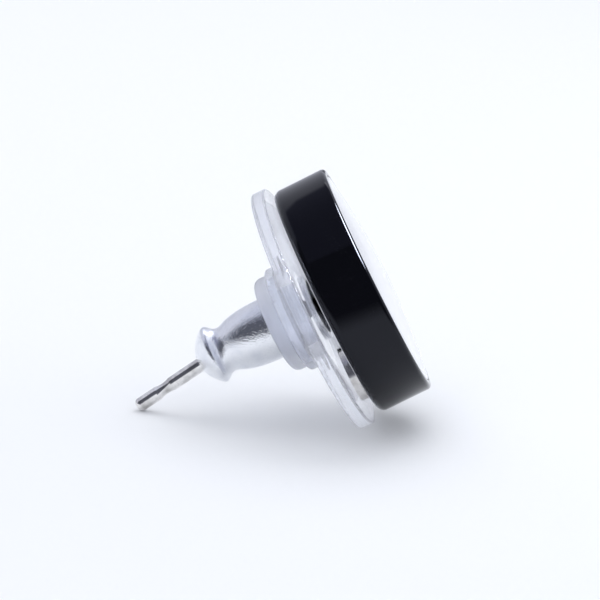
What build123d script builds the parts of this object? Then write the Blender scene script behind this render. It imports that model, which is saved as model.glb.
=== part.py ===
from build123d import *
import math
import os

# A button stud earring, lying unworn on a flat surface. It rests on the rim of its clutch disc, where
# the moulding gate was trimmed flat, and on the tip of its post, with the button leaning forward and up.
# Lengths are in millimetres.
#
# Sizes are set in the earring's own frame: X points up across the button, Y sideways out of its
# edge, and Z forward along its axis, with the origin at the middle of the button's back.

# Button: a thick black disc with a shallow recess in front, and a low white dome set into it
button_radius = 6.0
button_thickness = 2.82
button_back_round = 0.4
button_front_round = 0.22
button_rim_width = 0.4
recess_depth = 0.6
face_gap = 0.02
face_dome_height = 0.45
face_edge_round = 0.12

# Post: a round wire, soldered to a small pad that is glued to the button's back. It bends inside the
# clutch's end and shows beyond it, with a groove near its tip
glue_gap = 0.03
pad_radius = 1.7
pad_thickness = 0.2
post_radius = 0.35
post_lift = 0.13
solder_radius = 0.75
solder_height = 0.3
solder_hollow = 0.3
bend_from_end = 0.92
bend_radius = 3.0
bend_down = 8.1
bend_aside = 2.5
shown_length = 3.71
tip_round = 0.22
notch_from_tip = 1.66
notch_length = 0.85
notch_depth = 0.07

# Loop: a flat ring on a short arm of the pad, turned aside from straight down
loop_radius = 1.4
loop_eye_radius = 0.7
loop_thickness = 0.36
loop_distance = 4.21
loop_turn = 43.0
arm_width = 1.1

# Clutch disc: clear, slightly dished in front, moulded in one with a hub behind it, which has a
# neck and two steps
disc_radius = 6.34
disc_thickness = 0.7
disc_edge_round = 0.1
dish_border = 0.3
dish_depth = 0.33
disc_gap = 0.33
disc_lift = 0.06
disc_aside = 0.1
gate_flat = 1.8
neck_radius = 2.0
neck_length = 0.35
front_step_radius = 2.72
front_step_length = 0.74
front_step_round = 0.2
back_step_radius = 2.46
back_step_length = 0.75
back_step_round = 0.38
seat_gap = 0.02

# Clutch barrel: a thin tube with a rolled mouth on the disc's front, a flange held inside the hub, a
# waist and a flared, domed end
clutch_tip_up = 0.7
clutch_tip_away = 2.6
tube_radius = 1.56
tube_wall = 0.15
mouth_radius = 1.68
mouth_thickness = 0.12
flange_cover = 0.45
flange_backing = 0.13
flange_width = 0.28
barrel_length = 6.74
taper_from_end = 3.84
taper_slope = 33.0
waist_from_end = 1.52
waist_radius = 1.04
waist_round = 0.5
flare_from_end = 1.0
flare_radius = 1.53
flare_lip_round = 0.2
dome_fullness = 0.25
end_wall = 0.5
end_floor_radius = 0.7
end_hole_clearance = 0.05

# Directions in the earring's frame
up = Vector(1, 0, 0)
aside = Vector(0, 1, 0)
forward = Vector(0, 0, 1)
free_way = (
    -forward
    - up * math.tan(math.radians(bend_down))
    - aside * math.tan(math.radians(bend_aside))
).normalized()
clutch_forward = (
    forward
    - up * math.tan(math.radians(clutch_tip_up))
    + aside * math.tan(math.radians(clutch_tip_away))
).normalized()

# Points in the earring's frame
free_length = bend_from_end + shown_length
bend_point = up * post_lift - forward * (disc_gap + barrel_length - bend_from_end)
tip_point = bend_point + free_way * free_length
tip_round_centre = tip_point - free_way * tip_round
disc_front = up * disc_lift + aside * disc_aside - forward * disc_gap
disc_middle = disc_front - clutch_forward * (disc_thickness / 2)
disc_back_round_centre = disc_front - clutch_forward * (disc_thickness - disc_edge_round)
button_front_round_centre = forward * (button_thickness - button_front_round)
flat_distance = math.sqrt(disc_radius**2 - (gate_flat / 2) ** 2)


def reach(centre, axis, radius, rounding, way):
    """How far a round piece reaches in a direction, where its edge is rounded about the centre."""
    along = axis.dot(way)
    return centre.dot(way) + (radius - rounding) * math.sqrt(1 - along**2) + rounding


def rim_below_tip(lean):
    """How much lower the disc's flat reaches than the post's tip, with the button's axis at this lean."""
    down = -up * math.cos(math.radians(lean)) - forward * math.sin(math.radians(lean))
    rim = reach(disc_back_round_centre, clutch_forward, flat_distance, disc_edge_round, down)
    tip = reach(tip_round_centre, free_way, post_radius, tip_round, down)
    return rim - tip


# The lean at which the disc's flat and the post's tip stand on one floor, found by halving
least_lean = 0.0
most_lean = 80.0
for halving in range(50):
    lean = (least_lean + most_lean) / 2
    if rim_below_tip(lean) > 0:
        least_lean = lean
    else:
        most_lean = lean

# The earring as it lies: X to the right along the floor, Y away from the viewer, Z up
right = forward * math.cos(math.radians(lean)) - up * math.sin(math.radians(lean))
above = forward * math.sin(math.radians(lean)) + up * math.cos(math.radians(lean))
behind = -aside
reach_right = reach(button_front_round_centre, forward, button_radius, button_front_round, right)
reach_left = reach(tip_round_centre, free_way, post_radius, tip_round, -right)
reach_down = reach(disc_back_round_centre, clutch_forward, flat_distance, disc_edge_round, -above)
earring_origin = Vector((reach_left - reach_right) / 2, -disc_middle.dot(behind), reach_down)


def laid(way):
    """A direction of the earring's frame, as the earring lies."""
    return Vector(way.dot(right), way.dot(behind), way.dot(above))


def placed(point):
    """A point of the earring's frame, as the earring lies."""
    return earring_origin + laid(point)


def turning_axis(start, way):
    """The axis of a turned piece."""
    return Axis(placed(start), laid(way))


def half_plane(start, way):
    """The plane of a turned piece's half profile: X runs along its axis, Y out from the axis."""
    along = laid(way)
    return Plane(origin=placed(start), x_dir=along, z_dir=along.cross(Vector(0, 1, 0)))


def cross_plane(centre, way):
    """A plane across a piece's axis: Z runs along the axis, X up the earring."""
    return Plane(origin=placed(centre), x_dir=laid(up), z_dir=laid(way))


# Black body of the button: turned, with rounded outer edges and a recess in front
recess_radius = button_radius - button_rim_width
recess_floor = button_thickness - recess_depth
with BuildPart() as button_body:
    with BuildSketch(half_plane(Vector(), forward)):
        with BuildLine():
            Polyline(
                (0, 0),
                (0, button_radius),
                (button_thickness, button_radius),
                (button_thickness, recess_radius),
                (recess_floor, recess_radius),
                (recess_floor, 0),
                close=True,
            )
        make_face()
        fillet(vertices().group_by(Axis.Y)[-1].sort_by(Axis.X)[0], button_back_round)
        fillet(vertices().group_by(Axis.Y)[-1].sort_by(Axis.X)[-1], button_front_round)
    revolve(axis=turning_axis(Vector(), forward))
button_body.part.label = "button_body"

# White face of the button: a low dome that fills the recess
face_radius = recess_radius - face_gap
face_floor = recess_floor + face_gap
face_top = button_thickness + face_dome_height
with BuildPart() as button_face:
    with BuildSketch(half_plane(Vector(), forward)):
        with BuildLine():
            Polyline(
                (face_top, 0),
                (face_floor, 0),
                (face_floor, face_radius),
                (button_thickness, face_radius),
            )
            TangentArc((face_top, 0), (button_thickness, face_radius), tangent=(0, 1))
        make_face()
        fillet(vertices().group_by(Axis.Y)[-1].sort_by(Axis.X)[-1], face_edge_round)
    revolve(axis=turning_axis(Vector(), forward))
button_face.part.label = "button_face"

# Post, pad and loop: soldered into one piece of metal
pad_front = up * post_lift - forward * glue_gap
pad_back = pad_front - forward * pad_thickness
loop_centre = Vector(
    -loop_distance * math.cos(math.radians(loop_turn)),
    loop_distance * math.sin(math.radians(loop_turn)),
    -glue_gap,
)
arm_way = (loop_centre - pad_front).normalized()
loop_wire_radius = (loop_radius + loop_eye_radius) / 2
arm_end = loop_centre - arm_way * loop_wire_radius
arm_length = (arm_end - pad_front).length
notch_middle = tip_point - free_way * notch_from_tip
with BuildPart() as post_and_pad:
    with BuildSketch(cross_plane(pad_front, -forward)):
        Circle(pad_radius)
    extrude(amount=pad_thickness)
    with BuildSketch(Plane(origin=placed(pad_front), x_dir=laid(arm_way), z_dir=laid(-forward))):
        with Locations((arm_length / 2, 0)):
            Rectangle(arm_length, arm_width)
    extrude(amount=pad_thickness)
    with BuildSketch(cross_plane(loop_centre, -forward)):
        Circle(loop_radius)
        Circle(loop_eye_radius, mode=Mode.SUBTRACT)
    extrude(amount=loop_thickness)
    with BuildSketch(half_plane(pad_back, -forward)):
        with BuildLine():
            Polyline((solder_height, post_radius), (solder_height, 0), (0, 0), (0, solder_radius))
            ThreePointArc(
                (0, solder_radius),
                (
                    solder_height * solder_hollow,
                    post_radius + (solder_radius - post_radius) * solder_hollow,
                ),
                (solder_height, post_radius),
            )
        make_face()
    revolve(axis=turning_axis(pad_back, -forward))
    with BuildLine() as post_line:
        FilletPolyline(placed(pad_front), placed(bend_point), placed(tip_point), radius=bend_radius)
    with BuildSketch(cross_plane(pad_front, -forward)):
        Circle(post_radius)
    sweep(path=post_line.line)
    fillet(edges().sort_by(turning_axis(bend_point, free_way))[-1], tip_round)
    with BuildSketch(half_plane(notch_middle, free_way)):
        with BuildLine():
            ThreePointArc(
                (-notch_length / 2, post_radius),
                (0, post_radius - notch_depth),
                (notch_length / 2, post_radius),
            )
            Polyline(
                (notch_length / 2, post_radius),
                (notch_length / 2, post_radius + notch_depth),
                (-notch_length / 2, post_radius + notch_depth),
                (-notch_length / 2, post_radius),
            )
        make_face()
    revolve(axis=turning_axis(notch_middle, free_way), mode=Mode.SUBTRACT)
post_and_pad.part.label = "post_and_pad"

# Clear disc of the clutch, moulded with its hub round the barrel. It stands on its gate's flat
dish_radius = disc_radius - dish_border
flat_way = (clutch_forward * above.dot(clutch_forward) - above).normalized()
flat_middle = disc_front + flat_way * (flat_distance + disc_radius)
front_step_start = disc_thickness + neck_length
front_step_end = front_step_start + front_step_length
back_step_end = front_step_end + back_step_length
flange_radius = front_step_radius - flange_cover
flange_end = front_step_end - flange_backing
flange_start = flange_end - flange_width
seat_radius = tube_radius + seat_gap
pocket_radius = flange_radius + seat_gap
pocket_start = flange_start - seat_gap
pocket_end = flange_end + seat_gap
with BuildPart() as clutch_disc:
    with BuildSketch(cross_plane(disc_front, -clutch_forward)):
        Circle(disc_radius)
    extrude(amount=disc_thickness)
    with BuildSketch(Plane(origin=placed(flat_middle), x_dir=laid(flat_way), z_dir=laid(-clutch_forward))):
        Rectangle(disc_radius * 2, disc_radius * 2)
    extrude(amount=disc_thickness, mode=Mode.SUBTRACT)
    fillet(edges(), disc_edge_round)
    with BuildSketch(half_plane(disc_front, -clutch_forward)):
        with BuildLine():
            Polyline((0, 0), (dish_depth, 0), (0, dish_radius), close=True)
        make_face()
    revolve(axis=turning_axis(disc_front, -clutch_forward), mode=Mode.SUBTRACT)
    with BuildSketch(half_plane(disc_front, -clutch_forward)):
        with BuildLine():
            Polyline(
                (disc_thickness, 0),
                (disc_thickness, neck_radius),
                (front_step_start, neck_radius),
                (front_step_start, front_step_radius),
                (front_step_end, front_step_radius),
                (front_step_end, back_step_radius),
                (back_step_end, back_step_radius),
                (back_step_end, 0),
                close=True,
            )
        make_face()
        for corner, rounding in (
            ((front_step_start, front_step_radius), front_step_round),
            ((front_step_end, front_step_radius), front_step_round),
            ((back_step_end, back_step_radius), back_step_round),
        ):
            fillet(vertices().sort_by_distance(corner)[0], rounding)
    revolve(axis=turning_axis(disc_front, -clutch_forward))
    with BuildSketch(half_plane(disc_front, -clutch_forward)):
        with BuildLine():
            Polyline(
                (0, 0),
                (0, seat_radius),
                (pocket_start, seat_radius),
                (pocket_start, pocket_radius),
                (pocket_end, pocket_radius),
                (pocket_end, seat_radius),
                (back_step_end, seat_radius),
                (back_step_end, 0),
                close=True,
            )
        make_face()
    revolve(axis=turning_axis(disc_front, -clutch_forward), mode=Mode.SUBTRACT)
clutch_disc.part.label = "clutch_disc"

# Barrel of the clutch: a hollow turned shell, open in front, with a hole behind for the post's free end
bore_radius = tube_radius - tube_wall
mouth_back = dish_depth * (1 - mouth_radius / dish_radius) - seat_gap
mouth_front = mouth_back - mouth_thickness
taper_start = barrel_length - taper_from_end
waist = barrel_length - waist_from_end
flare_start = barrel_length - flare_from_end
with BuildPart() as clutch_barrel:
    with BuildSketch(half_plane(disc_front, -clutch_forward)):
        with BuildLine():
            Polyline(
                (mouth_front, bore_radius),
                (mouth_front, mouth_radius),
                (mouth_back, mouth_radius),
                (mouth_back, tube_radius),
                (flange_start, tube_radius),
                (flange_start, flange_radius),
                (flange_end, flange_radius),
                (flange_end, tube_radius),
                (taper_start, tube_radius),
            )
            Spline(
                (taper_start, tube_radius),
                (waist, waist_radius),
                tangents=((1, 0), (1, -math.tan(math.radians(taper_slope)))),
            )
            Line((waist, waist_radius), (flare_start, flare_radius))
            ThreePointArc(
                (flare_start, flare_radius),
                (
                    flare_start + flare_from_end * (0.5 + dome_fullness / 2),
                    flare_radius * (0.5 + dome_fullness / 2),
                ),
                (barrel_length, 0),
            )
            Polyline(
                (barrel_length, 0),
                (barrel_length - end_wall, 0),
                (barrel_length - end_wall, end_floor_radius),
                (flare_start, flare_radius - tube_wall),
                (waist, waist_radius - tube_wall),
                (taper_start, bore_radius),
                (mouth_front, bore_radius),
            )
        make_face()
        fillet(vertices().sort_by_distance((waist, waist_radius))[0], waist_round)
        fillet(vertices().sort_by_distance((flare_start, flare_radius))[0], flare_lip_round)
    revolve(axis=turning_axis(disc_front, -clutch_forward))
    with BuildSketch(cross_plane(bend_point, free_way)):
        Circle(post_radius + end_hole_clearance)
    extrude(amount=bend_from_end * 2, mode=Mode.SUBTRACT)
clutch_barrel.part.label = "clutch_barrel"

os.makedirs("parts", exist_ok=True)
export_step(button_body.part, "parts/button_body.step")
export_step(button_face.part, "parts/button_face.step")
export_step(post_and_pad.part, "parts/post_and_pad.step")
export_step(clutch_disc.part, "parts/clutch_disc.step")
export_step(clutch_barrel.part, "parts/clutch_barrel.step")

# Places worth reading back: the lean, the free end's direction, its tip and the plain stretch behind it
plain_length = notch_from_tip - notch_length / 2 - tip_round
plain_middle = tip_point - free_way * (tip_round + plain_length / 2)
print("lean of the button's axis", round(lean, 2))
print("free way", [round(number, 5) for number in laid(free_way)])
print("tip", [round(number, 3) for number in placed(tip_point)])
print("plain stretch", [round(number, 3) for number in placed(plain_middle)], round(plain_length, 3))
print("reach", round(reach_right + reach_left, 3))
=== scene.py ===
# The looks of a button stud earring, lying unworn on a pale surface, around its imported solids.
# The sections follow the earring as it is put together. Lengths are in metres.
import math

import bpy
from mathutils import Euler, Matrix, Vector

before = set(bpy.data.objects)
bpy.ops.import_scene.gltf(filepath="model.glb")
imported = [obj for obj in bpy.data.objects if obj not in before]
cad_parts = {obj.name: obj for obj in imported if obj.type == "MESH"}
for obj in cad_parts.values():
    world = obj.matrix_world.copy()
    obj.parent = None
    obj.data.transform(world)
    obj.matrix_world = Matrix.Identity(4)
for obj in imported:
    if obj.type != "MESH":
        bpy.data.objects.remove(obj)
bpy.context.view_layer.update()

# The button's black body: a thick disc of opaque resin, cast and then polished to a high gloss. The
# polishing leaves faint swirls, and handling leaves fine dust and a slightly softened edge.
black_colour = (0.002, 0.002, 0.0032, 1.0)
bare_back_colour = (0.93, 0.93, 0.95, 1.0)
bare_back_depth = 0.00003
button_back_middle = Vector((0.001945, 0.000084, 0.005915))
button_forward = Vector((math.cos(math.radians(29.43)), 0.0, math.sin(math.radians(29.43))))
black_mirror_tint = (0.84, 0.87, 1.0, 1.0)
black_dust_colour = (0.09, 0.095, 0.11, 1.0)
black_gloss_roughness = 0.045
black_haze_roughness = 0.13
black_dust_share = 0.5
black_mirror_level = 0.31
black_bump_strength = 0.5
plastic_ior = 1.5
fine_bump_distance = 0.00001
polish_swirl_per_metre = 900.0
polish_haze_start = 0.45
polish_haze_full = 0.75
polish_dust_per_metre = 9000.0
polish_dust_edge = 0.16
polish_dust_core = 0.04
polish_waviness_per_metre = 260.0


def polish_group():
    """Polished plastic: haze in cloudy patches, fine dust and a faint unevenness of the surface."""
    group = bpy.data.node_groups.new("polished plastic", "ShaderNodeTree")
    face = group.interface
    for name, kind, value in (
        ("Colour", "NodeSocketColor", (0.5, 0.5, 0.5, 1.0)),
        ("Dust Colour", "NodeSocketColor", (0.5, 0.5, 0.5, 1.0)),
        ("Gloss Roughness", "NodeSocketFloat", 0.05),
        ("Haze Roughness", "NodeSocketFloat", 0.15),
        ("Dust", "NodeSocketFloat", 0.5),
    ):
        face.new_socket(name=name, in_out="INPUT", socket_type=kind).default_value = value
    face.new_socket(name="Colour", in_out="OUTPUT", socket_type="NodeSocketColor")
    face.new_socket(name="Roughness", in_out="OUTPUT", socket_type="NodeSocketFloat")
    face.new_socket(name="Height", in_out="OUTPUT", socket_type="NodeSocketFloat")
    nodes, link = group.nodes, group.links.new
    inside = nodes.new("NodeGroupInput")
    outside = nodes.new("NodeGroupOutput")
    place = nodes.new("ShaderNodeTexCoord")
    haze = nodes.new("ShaderNodeTexNoise")
    haze.inputs["Scale"].default_value = polish_swirl_per_metre
    haze.inputs["Detail"].default_value = 4.0
    haze_range = nodes.new("ShaderNodeMapRange")
    haze_range.inputs["From Min"].default_value = polish_haze_start
    haze_range.inputs["From Max"].default_value = polish_haze_full
    link(place.outputs["Object"], haze.inputs["Vector"])
    link(haze.outputs["Fac"], haze_range.inputs["Value"])
    dust = nodes.new("ShaderNodeTexVoronoi")
    dust.inputs["Scale"].default_value = polish_dust_per_metre
    dust_range = nodes.new("ShaderNodeMapRange")
    dust_range.inputs["From Min"].default_value = polish_dust_edge
    dust_range.inputs["From Max"].default_value = polish_dust_core
    link(place.outputs["Object"], dust.inputs["Vector"])
    link(dust.outputs["Distance"], dust_range.inputs["Value"])
    dust_share = nodes.new("ShaderNodeMath")
    dust_share.operation = "MULTIPLY"
    link(dust_range.outputs["Result"], dust_share.inputs[0])
    link(haze_range.outputs["Result"], dust_share.inputs[1])
    dust_mask = nodes.new("ShaderNodeMath")
    dust_mask.operation = "MULTIPLY"
    link(dust_share.outputs["Value"], dust_mask.inputs[0])
    link(inside.outputs["Dust"], dust_mask.inputs[1])
    colour = nodes.new("ShaderNodeMix")
    colour.data_type = "RGBA"
    link(dust_mask.outputs["Value"], colour.inputs["Factor"])
    link(inside.outputs["Colour"], colour.inputs["A"])
    link(inside.outputs["Dust Colour"], colour.inputs["B"])
    rough = nodes.new("ShaderNodeMix")
    link(haze_range.outputs["Result"], rough.inputs["Factor"])
    link(inside.outputs["Gloss Roughness"], rough.inputs["A"])
    link(inside.outputs["Haze Roughness"], rough.inputs["B"])
    wave = nodes.new("ShaderNodeTexNoise")
    wave.inputs["Scale"].default_value = polish_waviness_per_metre
    wave.inputs["Detail"].default_value = 1.0
    link(place.outputs["Object"], wave.inputs["Vector"])
    link(colour.outputs["Result"], outside.inputs["Colour"])
    link(rough.outputs["Result"], outside.inputs["Roughness"])
    link(wave.outputs["Fac"], outside.inputs["Height"])
    return group


def new_material(name):
    """A material with one Principled shader, and the two."""
    material = bpy.data.materials.new(name)
    material.use_nodes = True
    return material, material.node_tree, material.node_tree.nodes["Principled BSDF"]


def finish_node(node, material):
    """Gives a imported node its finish."""
    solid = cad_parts[node]
    solid.data.materials.clear()
    solid.data.materials.append(material)


polish = polish_group()
black_resin, tree, shader = new_material("black_resin")
polished = tree.nodes.new("ShaderNodeGroup")
polished.node_tree = polish
polished.inputs["Colour"].default_value = black_colour
polished.inputs["Dust Colour"].default_value = black_dust_colour
polished.inputs["Gloss Roughness"].default_value = black_gloss_roughness
polished.inputs["Haze Roughness"].default_value = black_haze_roughness
polished.inputs["Dust"].default_value = black_dust_share
wave_bump = tree.nodes.new("ShaderNodeBump")
wave_bump.inputs["Strength"].default_value = black_bump_strength
wave_bump.inputs["Distance"].default_value = fine_bump_distance
place = tree.nodes.new("ShaderNodeTexCoord")
from_back = tree.nodes.new("ShaderNodeVectorMath")
from_back.operation = "SUBTRACT"
from_back.inputs[1].default_value = button_back_middle
along = tree.nodes.new("ShaderNodeVectorMath")
along.operation = "DOT_PRODUCT"
along.inputs[1].default_value = button_forward
on_back = tree.nodes.new("ShaderNodeMath")
on_back.operation = "LESS_THAN"
on_back.inputs[1].default_value = bare_back_depth
body_colour = tree.nodes.new("ShaderNodeMix")
body_colour.data_type = "RGBA"
body_colour.inputs["B"].default_value = bare_back_colour
tree.links.new(place.outputs["Object"], from_back.inputs[0])
tree.links.new(from_back.outputs["Vector"], along.inputs[0])
tree.links.new(along.outputs["Value"], on_back.inputs[0])
tree.links.new(on_back.outputs["Value"], body_colour.inputs["Factor"])
shader.inputs["IOR"].default_value = plastic_ior
shader.inputs["Specular IOR Level"].default_value = black_mirror_level
shader.inputs["Specular Tint"].default_value = black_mirror_tint
tree.links.new(polished.outputs["Colour"], body_colour.inputs["A"])
tree.links.new(body_colour.outputs["Result"], shader.inputs["Base Color"])
tree.links.new(polished.outputs["Roughness"], shader.inputs["Roughness"])
tree.links.new(polished.outputs["Height"], wave_bump.inputs["Height"])
tree.links.new(wave_bump.outputs["Normal"], shader.inputs["Normal"])
finish_node("button_body", black_resin)

# The button's white face: a low dome of glossy white enamel, poured into the recess of the black body
# and levelled by its own surface, so it is smoother and cleaner than the sides.
white_colour = (0.89, 0.9, 0.93, 1.0)
white_dust_colour = (0.6, 0.6, 0.62, 1.0)
white_gloss_roughness = 0.06
white_haze_roughness = 0.12
white_dust_share = 0.35
white_bump_strength = 0.3
white_enamel, tree, shader = new_material("white_enamel")
polished = tree.nodes.new("ShaderNodeGroup")
polished.node_tree = polish
polished.inputs["Colour"].default_value = white_colour
polished.inputs["Dust Colour"].default_value = white_dust_colour
polished.inputs["Gloss Roughness"].default_value = white_gloss_roughness
polished.inputs["Haze Roughness"].default_value = white_haze_roughness
polished.inputs["Dust"].default_value = white_dust_share
wave_bump = tree.nodes.new("ShaderNodeBump")
wave_bump.inputs["Strength"].default_value = white_bump_strength
wave_bump.inputs["Distance"].default_value = fine_bump_distance
shader.inputs["IOR"].default_value = plastic_ior
tree.links.new(polished.outputs["Colour"], shader.inputs["Base Color"])
tree.links.new(polished.outputs["Roughness"], shader.inputs["Roughness"])
tree.links.new(polished.outputs["Height"], wave_bump.inputs["Height"])
tree.links.new(wave_bump.outputs["Normal"], shader.inputs["Normal"])
finish_node("button_face", white_enamel)

# The post, its pad and the loop beside it: surgical steel, soldered into one piece and glued to the
# button's back. The wire is drawn, so it is bright with fine scratches and a few dull specks.
steel_colour = (0.9, 0.885, 0.87, 1.0)
steel_dull_colour = (0.5, 0.485, 0.47, 1.0)
steel_bright_roughness = 0.07
steel_dull_roughness = 0.2
steel_grain_per_metre = 14000.0
steel_grain_detail = 6.0
steel_patch_per_metre = 1500.0
steel_bump_strength = 0.25
metal_grain_roughness = 0.7
metal_dull_start = 0.42
metal_dull_full = 0.72
metal_speck_start = 0.5
metal_speck_full = 0.8


def metal_group():
    """Worked metal: fine grain, cloudy dull patches and the height of the grain."""
    group = bpy.data.node_groups.new("worked metal", "ShaderNodeTree")
    face = group.interface
    for name, kind, value in (
        ("Bright Colour", "NodeSocketColor", (0.7, 0.7, 0.7, 1.0)),
        ("Dull Colour", "NodeSocketColor", (0.4, 0.4, 0.4, 1.0)),
        ("Bright Roughness", "NodeSocketFloat", 0.15),
        ("Dull Roughness", "NodeSocketFloat", 0.35),
        ("Grain Per Metre", "NodeSocketFloat", 14000.0),
        ("Grain Detail", "NodeSocketFloat", 6.0),
        ("Patches Per Metre", "NodeSocketFloat", 1500.0),
    ):
        face.new_socket(name=name, in_out="INPUT", socket_type=kind).default_value = value
    face.new_socket(name="Colour", in_out="OUTPUT", socket_type="NodeSocketColor")
    face.new_socket(name="Roughness", in_out="OUTPUT", socket_type="NodeSocketFloat")
    face.new_socket(name="Height", in_out="OUTPUT", socket_type="NodeSocketFloat")
    nodes, link = group.nodes, group.links.new
    inside = nodes.new("NodeGroupInput")
    outside = nodes.new("NodeGroupOutput")
    place = nodes.new("ShaderNodeTexCoord")
    grain = nodes.new("ShaderNodeTexNoise")
    grain.inputs["Roughness"].default_value = metal_grain_roughness
    link(place.outputs["Object"], grain.inputs["Vector"])
    link(inside.outputs["Grain Per Metre"], grain.inputs["Scale"])
    link(inside.outputs["Grain Detail"], grain.inputs["Detail"])
    patch = nodes.new("ShaderNodeTexNoise")
    patch.inputs["Detail"].default_value = 3.0
    link(place.outputs["Object"], patch.inputs["Vector"])
    link(inside.outputs["Patches Per Metre"], patch.inputs["Scale"])
    dull = nodes.new("ShaderNodeMapRange")
    dull.inputs["From Min"].default_value = metal_dull_start
    dull.inputs["From Max"].default_value = metal_dull_full
    link(patch.outputs["Fac"], dull.inputs["Value"])
    speck = nodes.new("ShaderNodeMapRange")
    speck.inputs["From Min"].default_value = metal_speck_start
    speck.inputs["From Max"].default_value = metal_speck_full
    link(grain.outputs["Fac"], speck.inputs["Value"])
    both = nodes.new("ShaderNodeMath")
    both.operation = "MAXIMUM"
    link(dull.outputs["Result"], both.inputs[0])
    link(speck.outputs["Result"], both.inputs[1])
    colour = nodes.new("ShaderNodeMix")
    colour.data_type = "RGBA"
    link(both.outputs["Value"], colour.inputs["Factor"])
    link(inside.outputs["Bright Colour"], colour.inputs["A"])
    link(inside.outputs["Dull Colour"], colour.inputs["B"])
    rough = nodes.new("ShaderNodeMix")
    link(both.outputs["Value"], rough.inputs["Factor"])
    link(inside.outputs["Bright Roughness"], rough.inputs["A"])
    link(inside.outputs["Dull Roughness"], rough.inputs["B"])
    link(colour.outputs["Result"], outside.inputs["Colour"])
    link(rough.outputs["Result"], outside.inputs["Roughness"])
    link(grain.outputs["Fac"], outside.inputs["Height"])
    return group


worked_metal = metal_group()
post_steel, tree, shader = new_material("post_steel")
steel = tree.nodes.new("ShaderNodeGroup")
steel.node_tree = worked_metal
steel.inputs["Bright Colour"].default_value = steel_colour
steel.inputs["Dull Colour"].default_value = steel_dull_colour
steel.inputs["Bright Roughness"].default_value = steel_bright_roughness
steel.inputs["Dull Roughness"].default_value = steel_dull_roughness
steel.inputs["Grain Per Metre"].default_value = steel_grain_per_metre
steel.inputs["Grain Detail"].default_value = steel_grain_detail
steel.inputs["Patches Per Metre"].default_value = steel_patch_per_metre
grain_bump = tree.nodes.new("ShaderNodeBump")
grain_bump.inputs["Strength"].default_value = steel_bump_strength
grain_bump.inputs["Distance"].default_value = fine_bump_distance
shader.inputs["Metallic"].default_value = 1.0
tree.links.new(steel.outputs["Colour"], shader.inputs["Base Color"])
tree.links.new(steel.outputs["Roughness"], shader.inputs["Roughness"])
tree.links.new(steel.outputs["Height"], grain_bump.inputs["Height"])
tree.links.new(grain_bump.outputs["Normal"], shader.inputs["Normal"])
finish_node("post_and_pad", post_steel)

# The clutch's barrel: brass, turned to shape, tumbled and plated in a cool bright metal. The tumbling
# leaves a fine even grain under the plating.
plating_colour = (0.93, 0.945, 0.97, 1.0)
plating_dull_colour = (0.8, 0.82, 0.87, 1.0)
plating_bright_roughness = 0.08
plating_dull_roughness = 0.2
plating_grain_per_metre = 13000.0
plating_grain_detail = 1.5
plating_patch_per_metre = 1100.0
plating_bump_strength = 0.7
coarse_bump_distance = 0.00003
clutch_plating, tree, shader = new_material("clutch_plating")
plating = tree.nodes.new("ShaderNodeGroup")
plating.node_tree = worked_metal
plating.inputs["Bright Colour"].default_value = plating_colour
plating.inputs["Dull Colour"].default_value = plating_dull_colour
plating.inputs["Bright Roughness"].default_value = plating_bright_roughness
plating.inputs["Dull Roughness"].default_value = plating_dull_roughness
plating.inputs["Grain Per Metre"].default_value = plating_grain_per_metre
plating.inputs["Grain Detail"].default_value = plating_grain_detail
plating.inputs["Patches Per Metre"].default_value = plating_patch_per_metre
grain_bump = tree.nodes.new("ShaderNodeBump")
grain_bump.inputs["Strength"].default_value = plating_bump_strength
grain_bump.inputs["Distance"].default_value = coarse_bump_distance
shader.inputs["Metallic"].default_value = 1.0
tree.links.new(plating.outputs["Colour"], shader.inputs["Base Color"])
tree.links.new(plating.outputs["Roughness"], shader.inputs["Roughness"])
tree.links.new(plating.outputs["Height"], grain_bump.inputs["Height"])
tree.links.new(grain_bump.outputs["Normal"], shader.inputs["Normal"])
finish_node("clutch_barrel", clutch_plating)

# The clutch's disc: clear plastic, moulded in one with its hub round the barrel. It has a faint cool
# tint and the soft waviness of a moulding, the mould left the hub's last step frosted, and the room's
# soft light goes through it to what lies behind.
clear_tint = (0.9, 0.915, 0.985, 1.0)
clear_milky_share = 0.13
clear_cover = 0.85
clear_ior = 1.55
clear_waviness_per_metre = 420.0
clear_bump_strength = 0.06
clear_smooth_roughness = 0.01
clear_worn_roughness = 0.04
clear_frost_roughness = 0.55
clear_front_middle = Vector((0.001628, -0.000016, 0.005805))
clear_backward = Vector((-0.876, 0.0454, -0.4801))
frost_start = 0.00178
frost_full = 0.00188
clear_plastic, tree, shader = new_material("clear_plastic")
place = tree.nodes.new("ShaderNodeTexCoord")
flow = tree.nodes.new("ShaderNodeTexNoise")
flow.inputs["Scale"].default_value = clear_waviness_per_metre
flow.inputs["Detail"].default_value = 2.0
flow_bump = tree.nodes.new("ShaderNodeBump")
flow_bump.inputs["Strength"].default_value = clear_bump_strength
flow_bump.inputs["Distance"].default_value = coarse_bump_distance
smear = tree.nodes.new("ShaderNodeMapRange")
smear.inputs["To Min"].default_value = clear_smooth_roughness
smear.inputs["To Max"].default_value = clear_worn_roughness
from_front = tree.nodes.new("ShaderNodeVectorMath")
from_front.operation = "SUBTRACT"
from_front.inputs[1].default_value = clear_front_middle
behind = tree.nodes.new("ShaderNodeVectorMath")
behind.operation = "DOT_PRODUCT"
behind.inputs[1].default_value = clear_backward
frosted = tree.nodes.new("ShaderNodeMapRange")
frosted.inputs["From Min"].default_value = frost_start
frosted.inputs["From Max"].default_value = frost_full
clear_roughness = tree.nodes.new("ShaderNodeMix")
clear_roughness.inputs["B"].default_value = clear_frost_roughness
shader.inputs["Base Color"].default_value = clear_tint
shader.inputs["IOR"].default_value = clear_ior
shader.inputs["Transmission Weight"].default_value = 1.0 - clear_milky_share
shader.inputs["Alpha"].default_value = clear_cover
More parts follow.
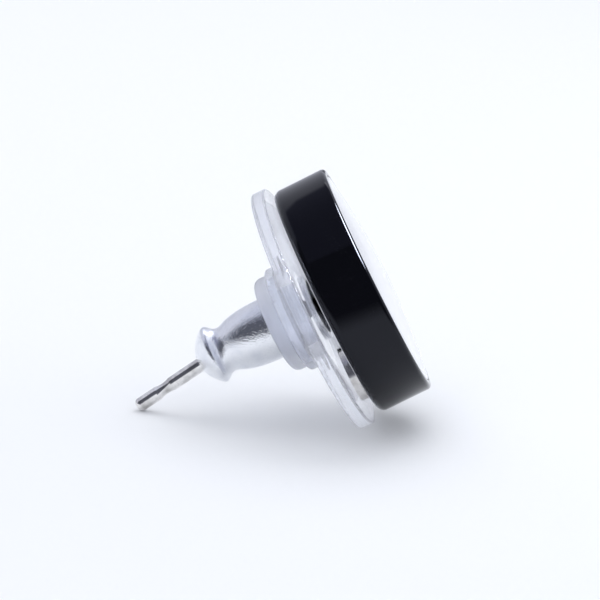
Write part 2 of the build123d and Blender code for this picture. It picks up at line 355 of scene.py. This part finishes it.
tree.links.new(place.outputs["Object"], flow.inputs["Vector"])
tree.links.new(place.outputs["Object"], from_front.inputs[0])
tree.links.new(from_front.outputs["Vector"], behind.inputs[0])
tree.links.new(behind.outputs["Value"], frosted.inputs["Value"])
tree.links.new(frosted.outputs["Result"], clear_roughness.inputs["Factor"])
tree.links.new(flow.outputs["Fac"], flow_bump.inputs["Height"])
tree.links.new(flow.outputs["Fac"], smear.inputs["Value"])
tree.links.new(smear.outputs["Result"], clear_roughness.inputs["A"])
tree.links.new(clear_roughness.outputs["Result"], shader.inputs["Roughness"])
tree.links.new(flow_bump.outputs["Normal"], shader.inputs["Normal"])
finish_node("clutch_disc", clear_plastic)
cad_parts["clutch_disc"].visible_diffuse = False

# The surface that the earring lies on: a plain pale sheet of matt card
floor_side = 3.0
floor_colour = (0.86, 0.872, 0.89, 1.0)
floor_roughness = 0.8
floor_mirror_level = 0.2
half = floor_side / 2
floor_mesh = bpy.data.meshes.new("floor")
floor_mesh.from_pydata(
    [(-half, -half, 0), (half, -half, 0), (half, half, 0), (-half, half, 0)],
    [],
    [(0, 1, 2, 3)],
)
floor = bpy.data.objects.new("floor", floor_mesh)
bpy.context.scene.collection.objects.link(floor)
floor_card, tree, shader = new_material("floor_card")
shader.inputs["Base Color"].default_value = floor_colour
shader.inputs["Roughness"].default_value = floor_roughness
shader.inputs["Specular IOR Level"].default_value = floor_mirror_level
floor_mesh.materials.append(floor_card)

# The room: evenly pale to the eye and on matt things. What the earring mirrors is a pale wall all
# round, up to its top edge, and a dimmer ceiling
eye_colour = (0.93, 0.965, 1.0, 1.0)
soft_light_colour = (0.93, 0.95, 1.0, 1.0)
soft_light_strength = 0.98
wall_colour = (0.62, 0.64, 0.74, 1.0)
ceiling_colour = (0.6, 0.63, 0.76, 1.0)
wall_top = math.sin(math.radians(42))
ceiling_start = math.sin(math.radians(46))
world = bpy.data.worlds.new("room")
bpy.context.scene.world = world
world.use_nodes = True
tree = world.node_tree
mirrored = tree.nodes["Background"]
soft_light = tree.nodes.new("ShaderNodeBackground")
soft_light.inputs["Color"].default_value = soft_light_colour
soft_light.inputs["Strength"].default_value = soft_light_strength
seen = tree.nodes.new("ShaderNodeBackground")
seen.inputs["Color"].default_value = eye_colour
way = tree.nodes.new("ShaderNodeTexCoord")
split = tree.nodes.new("ShaderNodeSeparateXYZ")
to_ceiling = tree.nodes.new("ShaderNodeMapRange")
to_ceiling.interpolation_type = "SMOOTHSTEP"
to_ceiling.inputs["From Min"].default_value = wall_top
to_ceiling.inputs["From Max"].default_value = ceiling_start
room_colour = tree.nodes.new("ShaderNodeMix")
room_colour.data_type = "RGBA"
room_colour.inputs["A"].default_value = wall_colour
room_colour.inputs["B"].default_value = ceiling_colour
ray = tree.nodes.new("ShaderNodeLightPath")
for_matt = tree.nodes.new("ShaderNodeMixShader")
for_eye = tree.nodes.new("ShaderNodeMixShader")
tree.links.new(way.outputs["Generated"], split.inputs["Vector"])
tree.links.new(split.outputs["Z"], to_ceiling.inputs["Value"])
tree.links.new(to_ceiling.outputs["Result"], room_colour.inputs["Factor"])
tree.links.new(room_colour.outputs["Result"], mirrored.inputs["Color"])
tree.links.new(ray.outputs["Is Diffuse Ray"], for_matt.inputs["Fac"])
tree.links.new(mirrored.outputs["Background"], for_matt.inputs[1])
tree.links.new(soft_light.outputs["Background"], for_matt.inputs[2])
through = tree.nodes.new("ShaderNodeMath")
through.operation = "MAXIMUM"
tree.links.new(ray.outputs["Is Camera Ray"], through.inputs[0])
tree.links.new(ray.outputs["Is Transmission Ray"], through.inputs[1])
tree.links.new(through.outputs["Value"], for_eye.inputs["Fac"])
tree.links.new(for_matt.outputs["Shader"], for_eye.inputs[1])
tree.links.new(seen.outputs["Background"], for_eye.inputs[2])
tree.links.new(for_eye.outputs["Shader"], tree.nodes["World Output"].inputs["Surface"])

# Three cards show only where the earring mirrors them, and their edges are soft: each covers fully
# inside its first row of corners and nothing outside its second. A dark one stands close in front, as
# a lens and the hands behind it do
corner_count = 5


def soft_card(name, corners, outer_corners, colour):
    """A card that glows faintly in one colour and fades out from its inner to its outer corners."""
    mesh = bpy.data.meshes.new(name)
    mesh.from_pydata(
        corners + outer_corners,
        [],
        [tuple(range(corner_count))]
        + [
            (k, (k + 1) % corner_count, (k + 1) % corner_count + corner_count, k + corner_count)
            for k in range(corner_count)
        ],
    )
    cover = mesh.attributes.new("cover", "FLOAT", "POINT")
    cover.data.foreach_set("value", [1.0] * corner_count + [0.0] * corner_count)
    card = bpy.data.objects.new(name, mesh)
    bpy.context.scene.collection.objects.link(card)
    card.visible_camera = False
    card.visible_diffuse = False
    card.visible_transmission = False
    card.visible_shadow = False
    material = bpy.data.materials.new(name)
    material.use_nodes = True
    tree = material.node_tree
    tree.nodes.remove(tree.nodes["Principled BSDF"])
    glow = tree.nodes.new("ShaderNodeEmission")
    glow.inputs["Color"].default_value = colour
    clear = tree.nodes.new("ShaderNodeBsdfTransparent")
    blend = tree.nodes.new("ShaderNodeMixShader")
    covering = tree.nodes.new("ShaderNodeAttribute")
    covering.attribute_name = "cover"
    fade = tree.nodes.new("ShaderNodeMapRange")
    fade.interpolation_type = "SMOOTHSTEP"
    tree.links.new(covering.outputs["Fac"], fade.inputs["Value"])
    tree.links.new(fade.outputs["Result"], blend.inputs["Fac"])
    tree.links.new(clear.outputs["BSDF"], blend.inputs[1])
    tree.links.new(glow.outputs["Emission"], blend.inputs[2])
    tree.links.new(blend.outputs["Shader"], tree.nodes["Material Output"].inputs["Surface"])
    mesh.materials.append(material)


front_card_distance = 0.02
front_card_colour = (0.09, 0.095, 0.12, 1.0)
front_card_corners = ((0.030, 0.006), (0.030, 0.022), (-0.012, 0.030), (-0.070, 0.084), (-0.080, 0.006))
front_card_outer_corners = (
    (0.042, 0.000), (0.042, 0.028), (-0.012, 0.037), (-0.076, 0.096), (-0.092, 0.000),
)
soft_card(
    "front_card",
    [(x, -front_card_distance, z) for x, z in front_card_corners],
    [(x, -front_card_distance, z) for x, z in front_card_outer_corners],
    front_card_colour,
)

# A grey one lies overhead, where only the button's side mirrors it
top_card_height = 0.025
top_card_colour = (0.2, 0.21, 0.3, 1.0)
top_card_corners = ((0.006, -0.018), (0.006, 0.009), (-0.009, 0.009), (-0.011, -0.006), (-0.011, -0.018))
top_card_outer_corners = (
    (0.009, -0.022), (0.009, 0.013), (-0.009, 0.013), (-0.013, -0.006), (-0.013, -0.022),
)
soft_card(
    "top_card",
    [(x, y, top_card_height) for x, y in top_card_corners],
    [(x, y, top_card_height) for x, y in top_card_outer_corners],
    top_card_colour,
)

# A bright narrow one, high and to the right, is a window that glints along the button's front edge
window_distance = 0.3
window_start = Vector((0.25, 0.38, 0.89))
window_end = Vector((0.62, -0.30, 0.72))
window_half_width = 0.045
window_fade = 0.012
window_colour = (60.0, 63.0, 70.0, 1.0)
window_along = (window_end - window_start).normalized()
window_across = window_along.cross(window_start + window_end).normalized()


def window_corners(spare):
    """The window's corners, spare metres further out, and a fifth one on its top edge."""
    top = window_start * window_distance - window_along * spare
    foot = window_end * window_distance + window_along * spare
    side = window_across * (window_half_width + spare)
    corners = (top - side, foot - side, foot + side, top + side, top + side * 0.5)
    return [tuple(corner) for corner in corners]


soft_card("window", window_corners(0.0), window_corners(window_fade), window_colour)

# A soft lamp above and behind, which casts the shadow forward
lamp_azimuth = math.radians(172)
lamp_elevation = math.radians(60)
lamp_distance = 0.5
lamp_size = 0.36
lamp_power = 0.44


def seen_from(azimuth, elevation):
    """The way to a place at an azimuth, counted from the front, and an elevation."""
    flat = math.cos(elevation)
    return Vector((math.sin(azimuth) * flat, -math.cos(azimuth) * flat, math.sin(elevation)))


lamp_data = bpy.data.lights.new("back_lamp", "AREA")
lamp_data.shape = "DISK"
lamp_data.size = lamp_size
lamp_data.energy = lamp_power
back_lamp = bpy.data.objects.new("back_lamp", lamp_data)
to_lamp = seen_from(lamp_azimuth, lamp_elevation)
back_lamp.location = to_lamp * lamp_distance
back_lamp.rotation_euler = to_lamp.to_track_quat("Z", "Y").to_euler()
bpy.context.scene.collection.objects.link(back_lamp)

# The camera: close and low in front of the earring, turned a little about its own axis
camera_lens_mm = 150.0
camera_film_mm = 36.0
camera_nearest = 0.001
camera_azimuth = math.radians(-1.85)
camera_elevation = math.radians(12.187)
camera_roll = math.radians(2.914)
camera_distance = 0.12288
camera_aim = Vector((0.00063, 0.000145, 0.005991))
camera_data = bpy.data.cameras.new("camera")
camera_data.lens = camera_lens_mm
camera_data.sensor_width = camera_film_mm
camera_data.clip_start = camera_nearest
camera = bpy.data.objects.new("camera", camera_data)
bpy.context.scene.collection.objects.link(camera)
upright = Euler((math.pi / 2 - camera_elevation, 0, camera_azimuth)).to_matrix().to_4x4()
camera.matrix_world = (
    Matrix.Translation(camera_aim + seen_from(camera_azimuth, camera_elevation) * camera_distance)
    @ upright
    @ Matrix.Rotation(camera_roll, 4, "Z")
)
bpy.context.scene.camera = camera
bpy.context.scene.view_settings.view_transform = "Standard"
